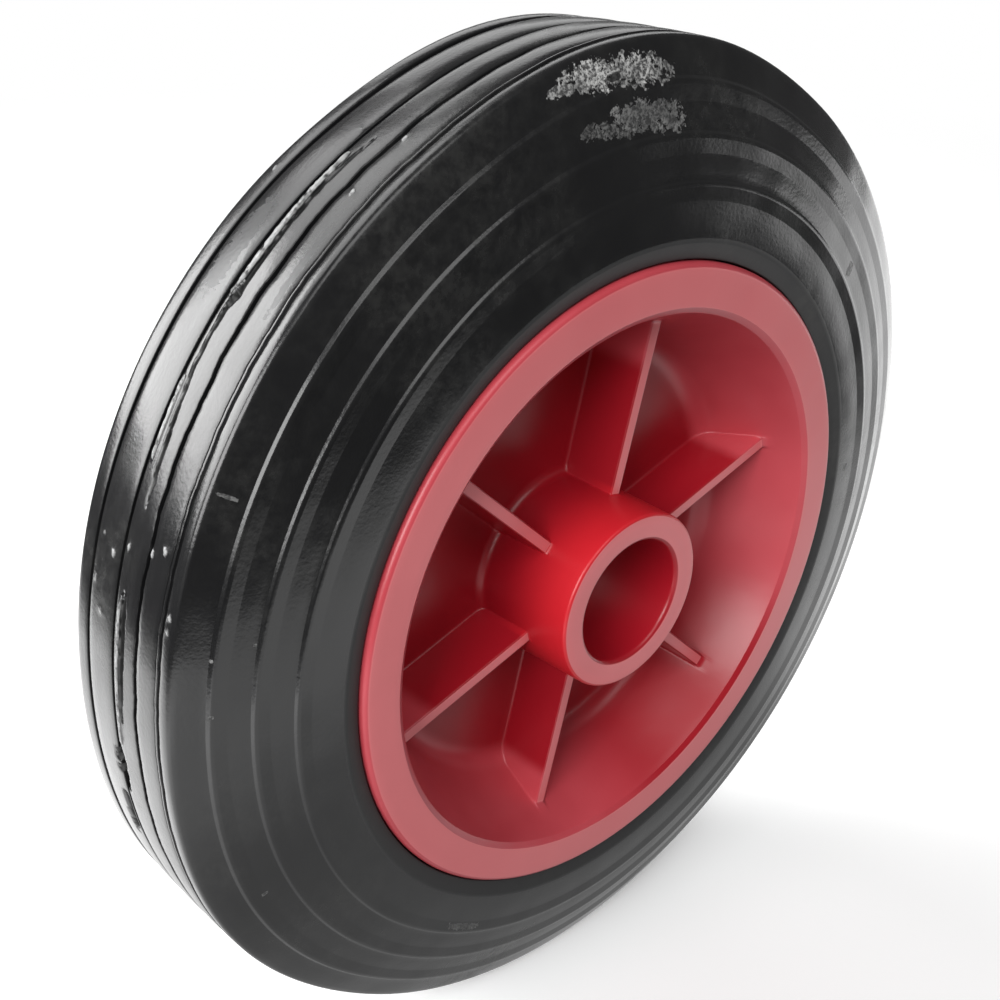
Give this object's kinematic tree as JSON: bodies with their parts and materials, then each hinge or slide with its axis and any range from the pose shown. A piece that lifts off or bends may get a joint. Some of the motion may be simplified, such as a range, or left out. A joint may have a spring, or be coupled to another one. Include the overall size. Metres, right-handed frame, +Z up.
{
  "type": "rubber trolley wheel",
  "caption": "Solid rubber trolley wheel: grooved tread and ringed sidewalls on a dished, ribbed plastic centre with a plain axle bore.",
  "frame": {"origin": "centre of the wheel, on the bore's axis, midway between the two sides", "axes": "+Y along the axle, away from the side that the picture shows; +Z up through the tread"},
  "size_m": [0.1956, 0.05, 0.1956],
  "materials": {
    "tyre_rubber": "black moulded rubber, semi-gloss, scuffed and nicked",
    "centre_plastic": "red moulded plastic, satin faces and glossy recesses"
  },
  "bodies": {
    "root": {"tyre": "tyre_rubber", "wheel_centre": "centre_plastic"}
  },
  "joints": []
}
